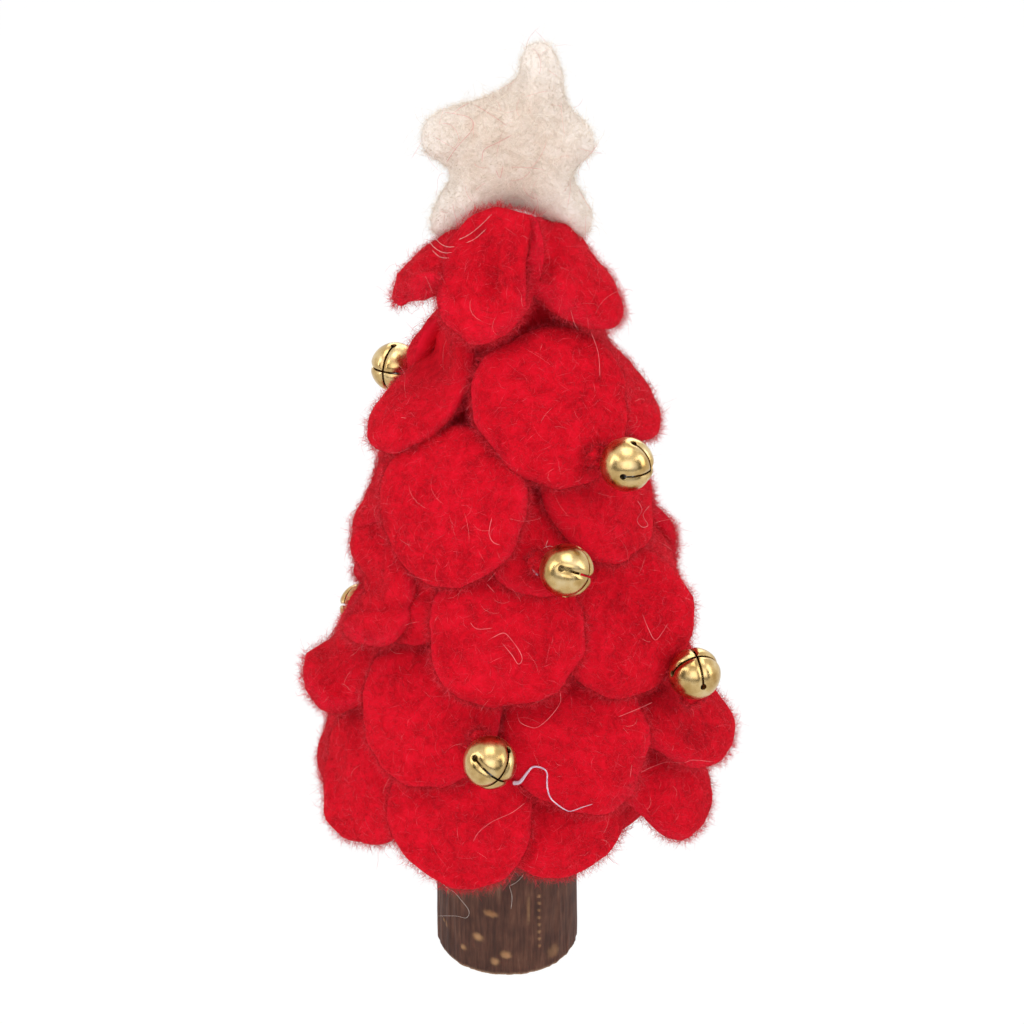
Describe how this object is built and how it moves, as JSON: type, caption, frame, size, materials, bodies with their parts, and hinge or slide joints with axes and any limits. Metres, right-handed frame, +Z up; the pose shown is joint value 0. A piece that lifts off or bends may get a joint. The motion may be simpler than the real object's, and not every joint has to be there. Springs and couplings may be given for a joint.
{
  "type": "felt christmas tree",
  "caption": "Tabletop tree of overlapping red felt petals on a cone and a cut branch trunk, with a puffy cream felt star and small brass jingle bells.",
  "frame": {"origin": "middle of the trunk's flat sawn foot", "axes": "+Z up through the star, the pictured front faces -Y"},
  "size_m": [0.0843, 0.085, 0.182],
  "materials": {
    "red_felt": "fuzzy wool felt",
    "cream_felt": "needle-felted wool",
    "core_wrap": "felt wrap",
    "bark": "natural bark",
    "brass": "polished",
    "steel": "tumbled",
    "hot_glue": "translucent"
  },
  "bodies": {
    "tree": {"bell_1_shell": "brass", "bell_2_shell": "brass", "bell_3_shell": "brass", "bell_4_shell": "brass", "bell_5_shell": "brass", "bell_6_shell": "brass", "bell_7_shell": "brass", "core": "core_wrap", "petal_row1_1": "red_felt", "petal_row1_2": "red_felt", "petal_row1_3": "red_felt", "petal_row1_4": "red_felt", "petal_row2_1": "red_felt", "petal_row2_2": "red_felt", "petal_row2_3": "red_felt", "petal_row2_4": "red_felt", "petal_row2_5": "red_felt", "petal_row3_1": "red_felt", "petal_row3_2": "red_felt", "petal_row3_3": "red_felt", "petal_row3_4": "red_felt", "petal_row3_5": "red_felt", "petal_row3_6": "red_felt", "petal_row3_7": "red_felt", "petal_row4_1": "red_felt", "petal_row4_2": "red_felt", "petal_row4_3": "red_felt", "petal_row4_4": "red_felt", "petal_row4_5": "red_felt", "petal_row4_6": "red_felt", "petal_row4_7": "red_felt", "petal_row4_8": "red_felt", "petal_row5_1": "red_felt", "petal_row5_2": "red_felt", "petal_row5_3": "red_felt", "petal_row5_4": "red_felt", "petal_row5_5": "red_felt", "petal_row5_6": "red_felt", "petal_row5_7": "red_felt", "petal_row5_8": "red_felt", "petal_row6_1": "red_felt", "petal_row6_2": "red_felt", "petal_row6_3": "red_felt", "petal_row6_4": "red_felt", "petal_row6_5": "red_felt", "petal_row6_6": "red_felt", "petal_row6_7": "red_felt", "petal_row6_8": "red_felt", "petal_row6_9": "red_felt", "star": "cream_felt", "star_glue": "hot_glue", "trunk": "bark"},
    "bell_1_loose_pellet": {"bell_1_pellet": "steel"},
    "bell_2_loose_pellet": {"bell_2_pellet": "steel"},
    "bell_3_loose_pellet": {"bell_3_pellet": "steel"},
    "bell_4_loose_pellet": {"bell_4_pellet": "steel"},
    "bell_5_loose_pellet": {"bell_5_pellet": "steel"},
    "bell_6_loose_pellet": {"bell_6_pellet": "steel"},
    "bell_7_loose_pellet": {"bell_7_pellet": "steel"}
  },
  "joints": [
    {"name": "bell_1_rattle", "type": "slide", "parent": "tree", "child": "bell_1_loose_pellet", "axis": [0, 0, 1], "range_m": [0, 0.0046]},
    {"name": "bell_2_rattle", "type": "slide", "parent": "tree", "child": "bell_2_loose_pellet", "axis": [0, 0, 1], "range_m": [0, 0.0046]},
    {"name": "bell_3_rattle", "type": "slide", "parent": "tree", "child": "bell_3_loose_pellet", "axis": [0, 0, 1], "range_m": [0, 0.0046]},
    {"name": "bell_4_rattle", "type": "slide", "parent": "tree", "child": "bell_4_loose_pellet", "axis": [0, 0, 1], "range_m": [0, 0.0046]},
    {"name": "bell_5_rattle", "type": "slide", "parent": "tree", "child": "bell_5_loose_pellet", "axis": [0, 0, 1], "range_m": [0, 0.0046]},
    {"name": "bell_6_rattle", "type": "slide", "parent": "tree", "child": "bell_6_loose_pellet", "axis": [0, 0, 1], "range_m": [0, 0.0046]},
    {"name": "bell_7_rattle", "type": "slide", "parent": "tree", "child": "bell_7_loose_pellet", "axis": [0, 0, 1], "range_m": [0, 0.0046]}
  ]
}
